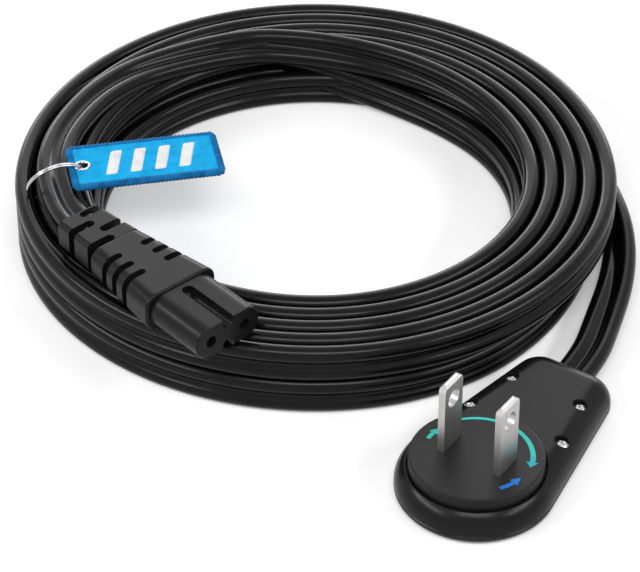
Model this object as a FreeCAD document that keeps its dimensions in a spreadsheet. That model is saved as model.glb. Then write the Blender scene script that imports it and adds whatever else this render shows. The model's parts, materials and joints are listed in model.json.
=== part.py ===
import FreeCAD, Part
import math
import os
import Sketcher
from FreeCAD import Placement, Rotation, Vector

# A flat two-blade mains plug whose round blade carrier turns freely in its housing,
# with a flat two-core cord, laid in a coil, and a figure-eight connector on its far end.
# Origin: the carrier's axis on the flat back of the housing. +Y runs along the housing
# towards the cord, +Z along the blades. All lengths are millimetres, angles are degrees.

DIMENSIONS = {
    # Housing of the plug, two shells
    "front_radius": 16.1,
    "tail_reach": 38.5,
    "tail_half_width": 10.8,
    "tail_corner_radius": 6.0,
    "housing_height": 7.7,
    "seam_height": 2.2,
    "shell_wall": 1.6,
    "top_wall": 2.2,
    "back_wall": 1.2,
    "top_edge_round": 5.0,
    "back_edge_round": 1.9,
    "rim_round": 0.3,
    "seam_bevel": 0.18,
    # Housing screws and the posts that take them
    "screw_front_x": 10.5,
    "screw_front_y": 14.8,
    "screw_rear_x": 7.9,
    "screw_rear_y": 26.3,
    "screw_head_radius": 1.35,
    "screw_head_height": 1.0,
    "screw_radius": 0.9,
    "screw_sink": 1.3,
    "screw_clearance": 0.15,
    "cross_width": 0.45,
    "cross_reach": 0.95,
    "cross_depth": 0.6,
    "post_radius": 2.0,
    "pilot_floor": 0.7,
    # Turning blade carrier
    "rim_width": 2.7,
    "disc_clearance": 0.25,
    "disc_proud": 1.7,
    "disc_edge_round": 0.4,
    "flange_overlap": 0.5,
    "flange_thickness": 1.4,
    "running_gap": 0.06,
    "retainer_inset": 0.6,
    "retainer_thickness": 0.8,
    "peg_radius": 1.0,
    "peg_offset": 8.6,
    "fit_gap": 0.05,
    # Blades of the two-pole mains standard
    "blade_spacing": 12.7,
    "blade_width": 6.35,
    "blade_thickness": 1.52,
    "blade_length": 15.9,
    "blade_tip_bevel": 0.45,
    "blade_corner_cut": 1.1,
    "blade_hole_radius": 1.98,
    "blade_hole_height": 11.7,
    "foot_thickness": 1.2,
    "foot_width": 3.0,
    # Sliding contacts under the carrier
    "inner_ring_radius": 3.4,
    "ring_margin": 2.9,
    "ring_width": 2.0,
    "ring_thickness": 0.4,
    "wiper_gap": 0.05,
    "wiper_thickness": 0.35,
    "wiper_width": 1.6,
    "wiper_crown": 0.6,
    "wiper_toe": 0.5,
    "inner_wiper_span": 2.0,
    "outer_wiper_span": 3.0,
    "carrier_room": 1.2,
    "carrier_thickness": 1.2,
    "carrier_peg_radius": 0.9,
    "carrier_peg_offset": 6.0,
    "strip_thickness": 0.4,
    "strip_width": 2.4,
    "tab_start": 16.0,
    "tab_length": 3.5,
    # Cord and what holds it in the plug
    "cord_width": 8.0,
    "cord_thickness": 3.7,
    "cord_height": 3.4,
    "cord_start": 29.0,
    "core_offset": 2.0,
    "lead_radius": 0.85,
    "clamp_half_width": 7.0,
    "clamp_start": 31.0,
    "clamp_length": 3.5,
    # Coil of the cord
    "coil_x": -75.05,
    "coil_y": 55.3,
    "coil_inner_radius": 44.4,
    "coil_outer_radius": 65.2,
    "coil_height": 16.0,
    "coil_edge_round": 1.8,
    # Figure-eight connector, lying on the coil
    "connector_x": -67.85,
    "connector_y": -3.6,
    "connector_angle": -14.4,
    "nose_length": 14.5,
    "nose_width": 16.2,
    "nose_height": 7.6,
    "nose_bevel": 0.25,
    "key_width": 2.7,
    "key_depth": 2.3,
    "key_length": 13.4,
    "pin_pitch": 8.6,
    "sleeve_outer_radius": 1.8,
    "sleeve_bore_radius": 1.25,
    "sleeve_setback": 1.5,
    "sleeve_length": 10.5,
    "grip_length": 21.0,
    "grip_width": 18.0,
    "grip_height": 8.7,
    "grip_rear_width": 13.4,
    "grip_rear_height": 7.3,
    "grip_corner": 2.9,
    "grip_rim_round": 0.5,
    "groove_pitch": 3.75,
    "groove_front": 8.2,
    "groove_width": 1.7,
    "groove_depth": 1.3,
    "groove_inboard": 3.4,
    "relief_length": 12.5,
    "relief_width": 11.8,
    "relief_height": 7.1,
    "relief_end_width": 10.4,
    "relief_end_height": 6.5,
    "relief_corner": 1.2,
    "slot_first": 1.0,
    "slot_pitch": 3.35,
    "slot_width": 2.0,
    "slot_short_of_middle": 0.6,
    # Tag on its split ring
    "tag_x": -101.7,
    "tag_y": 29.8,
    "tag_angle": 45.0,
    "tag_length": 32.5,
    "tag_width": 15.5,
    "tag_thickness": 1.5,
    "tag_lift": 4.6,
    "tag_corner": 0.8,
    "eyelet_inset": 2.85,
    "eyelet_hole_radius": 1.8,
    "eyelet_barrel_radius": 2.05,
    "eyelet_flange_radius": 2.4,
    "eyelet_flange": 0.2,
    "split_ring_wire": 0.6,
    "split_ring_lean": 24.0,
}

# Part of a run's length that the arc at its end takes up
ARC_SHARE = 0.45

# Route of the cord from the plug to the coil, at the height where it leaves the plug
TAIL_ROUTE = [
    (0.0, 43.2),
    (-4.1, 56.8),
    (-8.4, 70.3),
    (-14.9, 83.2),
    (-24.0, 94.6),
]

# Route of the cord from inside the coil, over its top and into the connector.
# The third figure is the height over the top of the coil; the connector's axis ends it.
END_ROUTE = [
    (-123.1, 78.8, -3.6),
    (-127.6, 65.5, -0.4),
    (-129.2, 49.8, 1.4),
    (-126.0, 33.6, 2.1),
    (-120.8, 22.8, 2.2),
    (-115.4, 16.6, 2.2),
    (-106.6, 8.9, 2.7),
]
RING_POINT = END_ROUTE[5]
END_BEND_SETBACK = 9.0

doc = FreeCAD.newDocument("rotating_flat_plug")
sheet = doc.addObject("Spreadsheet::Sheet", "dims")


def fill_sheet():
    """Write each driving dimension to a cell that has its name."""
    for row, (alias, value) in enumerate(DIMENSIONS.items(), start=1):
        sheet.set("A%d" % row, alias)
        sheet.set("B%d" % row, str(value))
        sheet.setAlias("B%d" % row, alias)
    doc.recompute()


def dim(alias):
    """The number in the cell of that name."""
    return float(sheet.get(alias))


# Heights in the plug, from its back up, as expressions of the driving dimensions
CARRIER_TOP = "(dims.back_wall + dims.carrier_thickness)"
INSIDE_TOP = "(dims.housing_height - dims.top_wall)"
FLANGE_TOP = "(%s - dims.running_gap)" % INSIDE_TOP
ROTOR_BASE = "(%s - dims.flange_thickness)" % FLANGE_TOP
RETAINER_BASE = "(%s - dims.retainer_thickness)" % ROTOR_BASE
DISC_TOP = "(dims.housing_height + dims.disc_proud)"
DISC_RADIUS = "(dims.front_radius - dims.rim_width)"
OPENING_RADIUS = "(%s + dims.disc_clearance)" % DISC_RADIUS
FLANGE_RADIUS = "(%s + dims.flange_overlap)" % OPENING_RADIUS
BLADE_X = "(dims.blade_spacing / 2)"
RING_BASE = "(%s - dims.ring_thickness)" % CARRIER_TOP
CARRIER_RADIUS = "(dims.front_radius - dims.shell_wall - dims.carrier_room)"
OUTER_RING_RADIUS = "(%s - dims.ring_margin)" % CARRIER_RADIUS
LEAD_BASE = "(dims.cord_height - dims.lead_radius)"
CONNECTOR_Z = "(dims.coil_height + dims.grip_height / 2)"


def solid_body(name):
    """A new body, labelled with the name of its piece."""
    body = doc.addObject("PartDesign::Body", name)
    body.Label = name
    return body


def new_sketch(body, plane, offset):
    """A sketch on one of the body's own planes, lifted along that plane's normal."""
    sketch = body.newObject("Sketcher::SketchObject", body.Name + "_sketch")
    support = [item for item in body.Origin.OriginFeatures if item.Role == plane][0]
    sketch.AttachmentSupport = [(support, "")]
    sketch.MapMode = "FlatFace"
    sketch.setExpression("AttachmentOffset.Base.z", offset)
    return sketch


def tie(sketch, kind, items, expression):
    """Add a dimension to a sketch and bind it to an expression."""
    value = sketch.evalExpression(expression)
    index = sketch.addConstraint(Sketcher.Constraint(kind, *items, float(value)))
    sketch.setExpression("Constraints[%d]" % index, expression)


def tie_point(sketch, geometry, point, across, along):
    """Fix a point of a sketch by its two distances from the origin."""
    tie(sketch, "DistanceX", (-1, 1, geometry, point), across)
    tie(sketch, "DistanceY", (-1, 1, geometry, point), along)


def draw_circles(sketch, circles):
    """Circles given as (across, along, radius) expressions."""
    for across, along, radius in circles:
        middle = Vector(sketch.evalExpression(across), sketch.evalExpression(along), 0)
        circle = Part.Circle(middle, Vector(0, 0, 1), float(sketch.evalExpression(radius)))
        index = sketch.addGeometry(circle, False)
        tie_point(sketch, index, 3, across, along)
        tie(sketch, "Radius", (index,), radius)


def draw_polygon(sketch, corners):
    """A closed outline of straight sides, its corners given as pairs of expressions."""
    spots = [Vector(sketch.evalExpression(a), sketch.evalExpression(b), 0) for a, b in corners]
    first = sketch.GeometryCount
    for index, spot in enumerate(spots):
        following = spots[(index + 1) % len(spots)]
        sketch.addGeometry(Part.LineSegment(spot, following), False)
    for index, (across, along) in enumerate(corners):
        following = first + (index + 1) % len(corners)
        sketch.addConstraint(Sketcher.Constraint("Coincident", first + index, 2, following, 1))
        tie_point(sketch, first + index, 1, across, along)


def draw_rectangle(sketch, left, right, low, high):
    """A rectangle between four expressions."""
    draw_polygon(sketch, [(left, low), (right, low), (right, high), (left, high)])


def draw_stadium(sketch, half_length, half_height, middle):
    """A bar with full round ends, centred across the sketch at the height middle."""
    reach = "(%s - %s)" % (half_length, half_height)
    span = float(sketch.evalExpression(reach))
    radius = float(sketch.evalExpression(half_height))
    level = float(sketch.evalExpression(middle))
    quarter = math.pi / 2
    normal = Vector(0, 0, 1)
    first = sketch.GeometryCount
    right = Part.Circle(Vector(span, level, 0), normal, radius)
    left = Part.Circle(Vector(-span, level, 0), normal, radius)
    low = Part.LineSegment(Vector(-span, level - radius, 0), Vector(span, level - radius, 0))
    high = Part.LineSegment(Vector(span, level + radius, 0), Vector(-span, level + radius, 0))
    sketch.addGeometry(low, False)
    sketch.addGeometry(Part.ArcOfCircle(right, -quarter, quarter), False)
    sketch.addGeometry(high, False)
    sketch.addGeometry(Part.ArcOfCircle(left, quarter, 3 * quarter), False)
    for step in range(4):
        following = first + (step + 1) % 4
        sketch.addConstraint(Sketcher.Constraint("Tangent", first + step, 2, following, 1))
    tie_point(sketch, first + 1, 3, reach, middle)
    tie_point(sketch, first + 3, 3, "-" + reach, middle)
    tie(sketch, "Radius", (first + 1,), half_height)


def draw_housing_outline(sketch, inset):
    """The plug's outline, moved inwards: a round front, tapering sides and a rounded tail."""
    front = "(dims.front_radius - %s)" % inset
    corner = "(dims.tail_corner_radius - %s)" % inset
    centre_x = "(dims.tail_half_width - dims.tail_corner_radius)"
    centre_y = "(dims.tail_reach - dims.tail_corner_radius)"
    front_r = float(sketch.evalExpression(front))
    corner_r = float(sketch.evalExpression(corner))
    cx = float(sketch.evalExpression(centre_x))
    cy = float(sketch.evalExpression(centre_y))
    side = math.atan2(cy, cx) - math.acos((front_r - corner_r) / math.hypot(cx, cy))
    normal = Vector(0, 0, 1)
    across = Vector(math.cos(side), math.sin(side), 0)
    mirrored = Vector(-across.x, across.y, 0)
    right = Vector(cx, cy, 0)
    left = Vector(-cx, cy, 0)
    upright = math.pi / 2
    front_circle = Part.Circle(Vector(0, 0, 0), normal, front_r)
    sketch.addGeometry(Part.ArcOfCircle(front_circle, math.pi - side, 2 * math.pi + side), False)
    sketch.addGeometry(Part.LineSegment(across * front_r, right + across * corner_r), False)
    sketch.addGeometry(Part.ArcOfCircle(Part.Circle(right, normal, corner_r), side, upright), False)
    tail = Vector(0, corner_r, 0)
    sketch.addGeometry(Part.LineSegment(right + tail, left + tail), False)
    corner_arc = Part.ArcOfCircle(Part.Circle(left, normal, corner_r), upright, math.pi - side)
    sketch.addGeometry(corner_arc, False)
    sketch.addGeometry(Part.LineSegment(left + mirrored * corner_r, mirrored * front_r), False)
    for step in range(6):
        sketch.addConstraint(Sketcher.Constraint("Tangent", step, 2, (step + 1) % 6, 1))
    sketch.addConstraint(Sketcher.Constraint("Coincident", 0, 3, -1, 1))
    tie(sketch, "Radius", (0,), front)
    tie_point(sketch, 2, 3, centre_x, centre_y)
    tie_point(sketch, 4, 3, "-" + centre_x, centre_y)
    tie(sketch, "Radius", (2,), corner)


def pad(body, sketch, length, midplane=False):
    """Raise a sketch along its normal."""
    feature = body.newObject("PartDesign::Pad", body.Name + "_pad")
    feature.Profile = sketch
    feature.Midplane = midplane
    feature.setExpression("Length", length)
    doc.recompute()
    return feature


def pocket(body, sketch, length, along_normal=False, midplane=False):
    """Cut a sketch into the body, against its normal unless told otherwise."""
    before = body.Shape.Volume
    feature = body.newObject("PartDesign::Pocket", body.Name + "_pocket")
    feature.Profile = sketch
    feature.Reversed = along_normal
    feature.Midplane = midplane
    feature.setExpression("Length", length)
    doc.recompute()
    if not body.Shape.Volume < before:
        raise RuntimeError("a pocket of %s cuts nothing" % body.Label)
    return feature


def dress(body, kind, names, size_property, size):
    """Round or bevel the named edges or faces of the body's last feature."""
    base = body.Tip
    feature = body.newObject(kind, body.Name + "_edge")
    feature.Base = (base, names)
    feature.setExpression(size_property, size)
    doc.recompute()
    return feature


def level_faces(body, height):
    """Names of the flat faces that lie at a height of the body's own frame."""
    names = []
    for number, face in enumerate(body.Tip.Shape.Faces, start=1):
        box = face.BoundBox
        if box.ZLength < 1e-6 and abs(box.ZMin - height) < 1e-6:
            names.append("Face%d" % number)
    return names


def edges_where(body, wanted):
    """Names of the last feature's edges for which wanted(edge) is true."""
    shape = body.Tip.Shape
    return ["Edge%d" % (n + 1) for n, edge in enumerate(shape.Edges) if wanted(edge)]


def is_level(height):
    """A test for edges that lie at one height."""
    def test(edge):
        return edge.BoundBox.ZLength < 1e-6 and abs(edge.BoundBox.ZMin - height) < 1e-6
    return test


def is_level_circle(height, radius):
    """A test for full circles of one radius at one height."""
    def test(edge):
        round_edge = isinstance(edge.Curve, Part.Circle) and abs(edge.Curve.Radius - radius) < 1e-6
        return round_edge and is_level(height)(edge)
    return test


def is_round_the_axis(radius, floor):
    """A test for edges that keep one distance from the carrier's axis, above a height."""
    def test(edge):
        spots = edge.discretize(Number=5)
        steady = all(abs(math.hypot(spot.x, spot.y) - radius) < 1e-4 for spot in spots)
        return steady and edge.BoundBox.ZMin > floor and edge.BoundBox.XLength > 1e-3
    return test


def value_of(expression):
    """The number that an expression of the sheet gives."""
    return float(sheet.evalExpression(expression))


def place(piece, x, y, z, angle="0"):
    """Put a piece at a place, turned about the vertical, both bound to the sheet."""
    piece.setExpression("Placement.Base.x", x)
    piece.setExpression("Placement.Base.y", y)
    piece.setExpression("Placement.Base.z", z)
    piece.Placement.Rotation = Rotation(Vector(0, 0, 1), value_of(angle))
    piece.setExpression("Placement.Rotation.Angle", angle)


def block(name, left, right, front, back, low, high):
    """A box between six expressions."""
    piece = doc.addObject("Part::Box", name)
    piece.setExpression("Length", "%s - %s" % (right, left))
    piece.setExpression("Width", "%s - %s" % (back, front))
    piece.setExpression("Height", "%s - %s" % (high, low))
    piece.setExpression("Placement.Base.x", left)
    piece.setExpression("Placement.Base.y", front)
    piece.setExpression("Placement.Base.z", low)
    return piece


def rod(name, radius, low, high, x="0", y="0"):
    """An upright cylinder between two heights."""
    piece = doc.addObject("Part::Cylinder", name)
    piece.setExpression("Radius", radius)
    piece.setExpression("Height", "%s - %s" % (high, low))
    piece.setExpression("Placement.Base.x", x)
    piece.setExpression("Placement.Base.y", y)
    piece.setExpression("Placement.Base.z", low)
    return piece


def fuse(name, pieces):
    """Join pieces into one."""
    joined = doc.addObject("Part::MultiFuse", name)
    joined.Shapes = pieces
    joined.Refine = True
    return joined


def cut(name, base, tool):
    """Take one piece away from another."""
    rest = doc.addObject("Part::Cut", name)
    rest.Base = base
    rest.Tool = tool
    return rest


def screw_places():
    """The four screws as pairs of expressions, front pair first."""
    places = []
    for pair in ("front", "rear"):
        for sign in ("-", ""):
            places.append(("%sdims.screw_%s_x" % (sign, pair), "dims.screw_%s_y" % pair))
    return places


def circles_at_screws(sketch, radius):
    """One circle of a radius at each screw."""
    draw_circles(sketch, [(x, y, radius) for x, y in screw_places()])


def cut_cord_entry(body):
    """The opening in the tail wall for the flat cord."""
    sketch = new_sketch(body, "XZ_Plane", "-dims.tail_reach")
    half_length = "(dims.cord_width / 2 + dims.fit_gap)"
    half_height = "(dims.cord_thickness / 2 + dims.fit_gap)"
    draw_stadium(sketch, half_length, half_height, "dims.cord_height")
    pocket(body, sketch, "2 * dims.shell_wall", midplane=True)


def bevel_seam(body):
    """Break a shell's outer edge where it meets the other shell, so that the seam shows."""
    seam = edges_where(body, is_level(dim("seam_height")))
    dress(body, "PartDesign::Chamfer", seam, "Size", "dims.seam_bevel")


def housing_top():
    """Wall-side shell: round opening for the carrier, sunk screws, posts and cord entry."""
    body = solid_body("housing_top")
    outline = new_sketch(body, "XY_Plane", "dims.seam_height")
    draw_housing_outline(outline, "0")
    pad(body, outline, "dims.housing_height - dims.seam_height")
    top = level_faces(body, dim("housing_height"))
    dress(body, "PartDesign::Fillet", top, "Radius", "dims.top_edge_round")
    bevel_seam(body)
    cavity = new_sketch(body, "XY_Plane", "dims.seam_height")
    draw_housing_outline(cavity, "dims.shell_wall")
    pocket(body, cavity, "%s - dims.seam_height" % INSIDE_TOP, along_normal=True)
    opening = new_sketch(body, "XY_Plane", "dims.housing_height")
    draw_circles(opening, [("0", "0", OPENING_RADIUS)])
    pocket(body, opening, "dims.top_wall")
    rim_floor = value_of(INSIDE_TOP) + dim("rim_round")
    rim = edges_where(body, is_round_the_axis(value_of(OPENING_RADIUS), rim_floor))
    dress(body, "PartDesign::Fillet", rim, "Radius", "dims.rim_round")
    posts = new_sketch(body, "XY_Plane", "dims.seam_height")
    circles_at_screws(posts, "dims.post_radius")
    pad(body, posts, "%s - dims.seam_height" % INSIDE_TOP)
    heads = new_sketch(body, "XY_Plane", "dims.housing_height")
    circles_at_screws(heads, "(dims.screw_head_radius + dims.screw_clearance)")
    pocket(body, heads, "dims.screw_sink + dims.screw_head_height")
    shanks = new_sketch(body, "XY_Plane", "dims.housing_height")
    circles_at_screws(shanks, "(dims.screw_radius + dims.screw_clearance)")
    pocket(body, shanks, "dims.housing_height - dims.seam_height")
    cut_cord_entry(body)
    return body


def housing_back():
    """Back shell: flat back, screw posts and two pegs that hold the contact carrier."""
    body = solid_body("housing_back")
    outline = new_sketch(body, "XY_Plane", "0")
    draw_housing_outline(outline, "0")
    pad(body, outline, "dims.seam_height")
    dress(body, "PartDesign::Fillet", level_faces(body, 0.0), "Radius", "dims.back_edge_round")
    bevel_seam(body)
    cavity = new_sketch(body, "XY_Plane", "dims.seam_height")
    draw_housing_outline(cavity, "dims.shell_wall")
    pocket(body, cavity, "dims.seam_height - dims.back_wall")
    posts = new_sketch(body, "XY_Plane", "dims.back_wall")
    circles_at_screws(posts, "(dims.post_radius - dims.screw_clearance)")
    pad(body, posts, "dims.seam_height - dims.back_wall")
    pegs = new_sketch(body, "XY_Plane", "dims.back_wall")
    peg_places = [("-dims.carrier_peg_offset", "0"), ("dims.carrier_peg_offset", "0")]
    draw_circles(pegs, [(x, y, "dims.carrier_peg_radius") for x, y in peg_places])
    pad(body, pegs, "dims.carrier_thickness - dims.ring_thickness")
    pilots = new_sketch(body, "XY_Plane", "dims.seam_height")
    circles_at_screws(pilots, "(dims.screw_radius + dims.fit_gap)")
    pocket(body, pilots, "dims.seam_height - dims.pilot_floor")
    cut_cord_entry(body)
    return body


def housing_screws():
    """Four small screws with cross recesses, one group."""
    head_top = "(dims.housing_height - dims.screw_sink)"
    head_base = "(%s - dims.screw_head_height)" % head_top
    tip = "(dims.pilot_floor + dims.screw_clearance)"
    recess_floor = "(%s - dims.cross_depth)" % head_top
    screws = []
    for number, (x, y) in enumerate(screw_places()):
        shank = rod("screw_shank_%d" % number, "dims.screw_radius", tip, head_base, x, y)
        head = rod("screw_head_%d" % number, "dims.screw_head_radius", head_base, head_top, x, y)
        whole = fuse("screw_blank_%d" % number, [shank, head])
        bars = []
        for name, half_x, half_y in (
            ("across", "dims.cross_reach", "dims.cross_width / 2"),
            ("along", "dims.cross_width / 2", "dims.cross_reach"),
        ):
            left = "(%s - %s)" % (x, half_x)
            right = "(%s + %s)" % (x, half_x)
            front = "(%s - %s)" % (y, half_y)
            back = "(%s + %s)" % (y, half_y)
            bar = block("cross_%s_%d" % (name, number), left, right, front, back, recess_floor, head_top)
            bars.append(bar)
        cross = fuse("cross_%d" % number, bars)
        screws.append(cut("screw_%d" % number, whole, cross))
    group = doc.addObject("Part::Compound", "housing_screws")
    group.Links = screws
    return group


def foot_reach(side):
    """Inner and outer ends, along X, of a blade's foot: one goes out, one goes in."""
    half_ring = "dims.ring_width / 2"
    if side == "left":
        return "(-%s - %s)" % (OUTER_RING_RADIUS, half_ring), "(-%s)" % BLADE_X
    return "(dims.inner_ring_radius - %s)" % half_ring, BLADE_X


def rotor_disc():
    """Blade carrier: a disc with a flange below, slots for the blades and pegs underneath."""
    body = solid_body("rotor_disc")
    flange = new_sketch(body, "XY_Plane", ROTOR_BASE)
    draw_circles(flange, [("0", "0", FLANGE_RADIUS)])
    pad(body, flange, "dims.flange_thickness")
    disc = new_sketch(body, "XY_Plane", FLANGE_TOP)
    draw_circles(disc, [("0", "0", DISC_RADIUS)])
    pad(body, disc, "%s - %s" % (DISC_TOP, FLANGE_TOP))
    rim = edges_where(body, is_level_circle(value_of(DISC_TOP), value_of(DISC_RADIUS)))
    dress(body, "PartDesign::Fillet", rim, "Radius", "dims.disc_edge_round")
    half_width = "(dims.blade_width / 2 + dims.fit_gap)"
    half_thickness = "(dims.blade_thickness / 2 + dims.fit_gap)"
    half_foot = "(dims.foot_width / 2 + dims.fit_gap)"
    slots = new_sketch(body, "XY_Plane", DISC_TOP)
    feet = new_sketch(body, "XY_Plane", ROTOR_BASE)
    for side, sign in (("left", "-"), ("right", "")):
        low_x = "(%s%s - %s)" % (sign, BLADE_X, half_thickness)
        high_x = "(%s%s + %s)" % (sign, BLADE_X, half_thickness)
        draw_rectangle(slots, low_x, high_x, "-" + half_width, half_width)
        near, far = foot_reach(side)
        low_foot = "(%s - dims.fit_gap)" % near
        high_foot = "(%s + dims.fit_gap)" % far
        draw_rectangle(feet, low_foot, high_foot, "-" + half_foot, half_foot)
    pocket(body, slots, "%s - %s" % (DISC_TOP, ROTOR_BASE))
    pocket(body, feet, "dims.foot_thickness + dims.fit_gap", along_normal=True)
    pegs = new_sketch(body, "XY_Plane", RETAINER_BASE)
    peg_places = [("0", "-dims.peg_offset"), ("0", "dims.peg_offset")]
    draw_circles(pegs, [(x, y, "dims.peg_radius") for x, y in peg_places])
    pad(body, pegs, "dims.retainer_thickness")
    return body


def wiper_place(side):
    """Middle of a wiper along X and half its length along Y."""
    if side == "left":
        return "(-%s)" % OUTER_RING_RADIUS, "dims.outer_wiper_span"
    return "dims.inner_ring_radius", "dims.inner_wiper_span"


def rotor_retainer():
    """Plate under the carrier that keeps the blades' feet in, with a window for each wiper."""
    body = solid_body("rotor_retainer")
    plate = new_sketch(body, "XY_Plane", RETAINER_BASE)
    draw_circles(plate, [("0", "0", "(%s - dims.retainer_inset)" % DISC_RADIUS)])
    pad(body, plate, "dims.retainer_thickness")
    openings = new_sketch(body, "XY_Plane", ROTOR_BASE)
    peg_places = [("0", "-dims.peg_offset"), ("0", "dims.peg_offset")]
    draw_circles(openings, [(x, y, "(dims.peg_radius + dims.fit_gap)") for x, y in peg_places])
    for side in ("left", "right"):
        middle, span = wiper_place(side)
        reach = "(%s + dims.fit_gap)" % span
        left = "(%s - dims.wiper_width / 2 - dims.fit_gap)" % middle
        right = "(%s + dims.wiper_width / 2 + dims.fit_gap)" % middle
        draw_rectangle(openings, left, right, "-" + reach, reach)
    pocket(body, openings, "dims.retainer_thickness")
    return body


def blade(side, sign):
    """A flat blade with a bevelled tip, a hole and a foot under the carrier."""
    body = solid_body("blade_" + side)
    tip = "(%s + dims.blade_length)" % DISC_TOP
    shoulder = "(%s - dims.blade_corner_cut)" % tip
    half = "(dims.blade_width / 2)"
    narrow = "(%s - dims.blade_corner_cut / 2)" % half
    profile = new_sketch(body, "YZ_Plane", sign + BLADE_X)
    draw_polygon(profile, [
        ("-" + half, ROTOR_BASE),
        (half, ROTOR_BASE),
        (half, shoulder),
        (narrow, tip),
        ("-" + narrow, tip),
        ("-" + half, shoulder),
    ])
    pad(body, profile, "dims.blade_thickness", midplane=True)
    top = level_faces(body, value_of(tip))
    dress(body, "PartDesign::Chamfer", top, "Size", "dims.blade_tip_bevel")
    hole = new_sketch(body, "YZ_Plane", sign + BLADE_X)
    height = "(%s + dims.blade_hole_height)" % DISC_TOP
    draw_circles(hole, [("0", height, "dims.blade_hole_radius")])
    pocket(body, hole, "2 * dims.blade_thickness", midplane=True)
    near, far = foot_reach(side)
    foot = new_sketch(body, "XY_Plane", ROTOR_BASE)
    draw_rectangle(foot, near, far, "-dims.foot_width / 2", "dims.foot_width / 2")
    pad(body, foot, "dims.foot_thickness")
    return body


def wiper(name, side):
    """A bowed leaf: its crown presses on the blade's foot, its two toes ride on a ring."""
    body = solid_body(name)
    middle, span = wiper_place(side)
    crown = "dims.wiper_crown"
    knee = "(%s - dims.wiper_toe)" % span
    low = "(%s + dims.wiper_gap)" % CARRIER_TOP
    high = ROTOR_BASE
    low_top = "(%s + dims.wiper_thickness)" % low
    high_low = "(%s - dims.wiper_thickness)" % high
    profile = new_sketch(body, "YZ_Plane", middle)
    draw_polygon(profile, [
        ("-" + span, low),
        ("-" + knee, low),
        ("-" + crown, high_low),
        (crown, high_low),
        (knee, low),
        (span, low),
        (span, low_top),
        (knee, low_top),
        (crown, high),
        ("-" + crown, high),
        ("-" + knee, low_top),
        ("-" + span, low_top),
    ])
    pad(body, profile, "dims.wiper_width", midplane=True)
    return body


def ring_band(name, radius, grow):
    """A flat ring of the contact width round the axis, or the recess that takes it."""
    inner = "(%s - dims.ring_width / 2 - %s)" % (radius, grow)
    outer = "(%s + dims.ring_width / 2 + %s)" % (radius, grow)
    whole = rod(name + "_outside", outer, RING_BASE, CARRIER_TOP)
    hole = rod(name + "_inside", inner, RING_BASE, CARRIER_TOP)
    return cut(name, whole, hole)


def strip_sides(sign, grow):
    """The two sides, along X, of the strip that leads to one core of the cord."""
    middle = "%sdims.core_offset" % sign
    left = "(%s - dims.strip_width / 2 - %s)" % (middle, grow)
    right = "(%s + dims.strip_width / 2 + %s)" % (middle, grow)
    return left, right


TAB_END = "(dims.tab_start + dims.tab_length)"
INNER_RISER_FRONT = "(dims.inner_ring_radius - dims.ring_width)"
INNER_RISER_BACK = "dims.inner_ring_radius"
STRIP_TOP = "(dims.back_wall + dims.strip_thickness)"


def ring_outer():
    """Outer contact ring with a tab that carries the left core."""
    band = ring_band("outer_band", OUTER_RING_RADIUS, "0")
    left, right = strip_sides("-", "0")
    strip = block("outer_strip", left, right, OUTER_RING_RADIUS, TAB_END, RING_BASE, CARRIER_TOP)
    tab = block("outer_tab", left, right, "dims.tab_start", TAB_END, CARRIER_TOP, LEAD_BASE)
    return fuse("ring_outer", [band, strip, tab])


def ring_inner():
    """Inner contact ring: its strip passes under the carrier to a tab for the right core."""
    band = ring_band("inner_band", "dims.inner_ring_radius", "0")
    left, right = strip_sides("", "0")
    back = "dims.back_wall"
    riser = block("inner_riser", left, right, INNER_RISER_FRONT, INNER_RISER_BACK, back, CARRIER_TOP)
    strip = block("inner_strip", left, right, INNER_RISER_FRONT, TAB_END, back, STRIP_TOP)
    tab = block("inner_tab", left, right, "dims.tab_start", TAB_END, STRIP_TOP, LEAD_BASE)
    return fuse("ring_inner", [band, riser, strip, tab])


def contact_carrier():
    """Insulating disc on the back shell that holds both rings flush with its face."""
    gap = "dims.fit_gap"
    back = "dims.back_wall"
    plate = rod("carrier_plate", CARRIER_RADIUS, back, CARRIER_TOP)
    cuts = [
        ring_band("outer_recess", OUTER_RING_RADIUS, gap),
        ring_band("inner_recess", "dims.inner_ring_radius", gap),
    ]
    left, right = strip_sides("-", gap)
    beyond = TAB_END
    cuts.append(block("outer_way", left, right, OUTER_RING_RADIUS, beyond, RING_BASE, CARRIER_TOP))
    left, right = strip_sides("", gap)
    riser_front = "(%s - %s)" % (INNER_RISER_FRONT, gap)
    riser_back = "(%s + %s)" % (INNER_RISER_BACK, gap)
    cuts.append(block("inner_shaft", left, right, riser_front, riser_back, back, CARRIER_TOP))
    strip_roof = "(%s + %s)" % (STRIP_TOP, gap)
    cuts.append(block("inner_way", left, right, riser_front, beyond, back, strip_roof))
    peg_hole = "(dims.carrier_peg_radius + %s)" % gap
    for number, sign in enumerate(("-", "")):
        offset = sign + "dims.carrier_peg_offset"
        cuts.append(rod("peg_hole_%d" % number, peg_hole, back, CARRIER_TOP, offset))
    return cut("contact_carrier", plate, fuse("carrier_cuts", cuts))


def lead(name, sign):
    """One insulated core of the cord, from the cord's end to the tab of its ring."""
    piece = doc.addObject("Part::Cylinder", name)
    piece.Placement = Placement(Vector(), Rotation(Vector(1, 0, 0), 90))
    piece.setExpression("Radius", "dims.lead_radius")
    piece.setExpression("Height", "dims.cord_start - dims.tab_start")
    piece.setExpression("Placement.Base.x", sign + "dims.core_offset")
    piece.setExpression("Placement.Base.y", "dims.cord_start")
    piece.setExpression("Placement.Base.z", "dims.cord_height")
    return piece


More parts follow.
